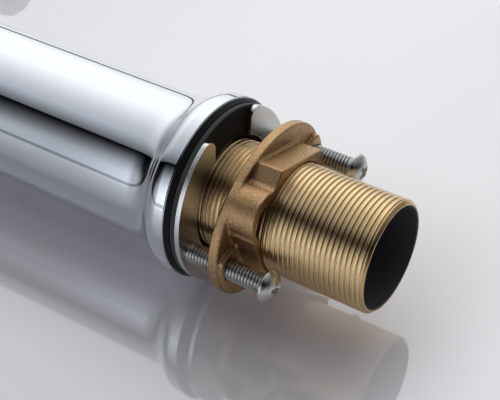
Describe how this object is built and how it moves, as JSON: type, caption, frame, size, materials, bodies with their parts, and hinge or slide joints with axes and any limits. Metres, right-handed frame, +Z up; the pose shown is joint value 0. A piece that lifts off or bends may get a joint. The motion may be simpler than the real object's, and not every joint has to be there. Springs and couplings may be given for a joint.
{
  "type": "tall basin mixer",
  "caption": "Tall one-hole basin mixer with a lever, a bent spout, a flared foot, and a threaded shank that carries its washers, cast lock nut and clamp screws.",
  "frame": {"origin": "centre of the seat on the worktop, where the foot's gasket rests", "axes": "+Z up the column away from the worktop, -Y towards the spout and the user, +X to the user's right"},
  "size_m": [0.054, 0.1655, 0.3773],
  "materials": {
    "chrome": "polished chrome",
    "shank_brass": "turned brass",
    "cast_brass": "sand-cast brass, dull",
    "black_rubber": "matt",
    "zinc_steel": "zinc-plated steel",
    "white_plastic": "natural nylon",
    "black_plastic": "black nylon",
    "ceramic": "ground ceramic",
    "red_plastic": "gloss"
  },
  "bodies": {
    "column": {"body_column": "chrome", "base_gasket": "black_rubber", "shank": "shank_brass", "valve_block": "shank_brass", "spout": "chrome", "spout_o_ring": "black_rubber", "aerator_shell": "chrome", "aerator_insert": "white_plastic", "aerator_washer": "black_rubber", "cartridge_base": "white_plastic", "port_seals": "black_rubber", "cartridge_housing": "white_plastic", "fixed_disc": "ceramic", "retaining_nut": "shank_brass", "dome_cover": "chrome"},
    "washers": {"rubber_washer": "black_rubber", "horseshoe_washer": "zinc_steel"},
    "nut": {"lock_nut": "cast_brass"},
    "screw_near": {"clamp_screw_near": "zinc_steel"},
    "screw_far": {"clamp_screw_far": "zinc_steel"},
    "turner": {"turret": "black_plastic", "stem_pin": "zinc_steel"},
    "carrier": {"disc_carrier": "black_plastic", "moving_disc": "ceramic"},
    "lever": {"stem": "zinc_steel", "handle": "chrome", "grub_screw": "zinc_steel", "indicator_plug": "red_plastic"}
  },
  "joints": [
    {"name": "washer_slide", "type": "slide", "parent": "column", "child": "washers", "axis": [0, 0, -1], "range_m": [0, 0.03]},
    {"name": "nut_turn", "type": "hinge", "parent": "washers", "child": "nut", "pos_m": [0, 0, -0.0137], "axis": [0, 0, -1], "range_deg": [0, 7200]},
    {"name": "near_screw_in", "type": "slide", "parent": "nut", "child": "screw_near", "axis": [0, 0, 1], "range_m": [-0.009, 0]},
    {"name": "far_screw_in", "type": "slide", "parent": "nut", "child": "screw_far", "axis": [0, 0, 1], "range_m": [-0.0076, 0.0014]},
    {"name": "handle_turn", "type": "hinge", "parent": "column", "child": "turner", "pos_m": [0, 0, 0.298], "axis": [0, 0, 1], "range_deg": [-50, 50]},
    {"name": "handle_lift", "type": "hinge", "parent": "turner", "child": "lever", "pos_m": [0, 0, 0.298], "axis": [-1, 0, 0], "range_deg": [0, 25]},
    {"name": "carrier_slide", "type": "slide", "parent": "turner", "child": "carrier", "axis": [0, -1, 0], "range_m": [0, 0.00563]}
  ],
  "couplings": [
    {"joint": "washer_slide", "follows": "nut_turn", "m_per_rad": 0.00023873},
    {"joint": "carrier_slide", "follows": "handle_lift", "m_per_rad": 0.012897}
  ]
}
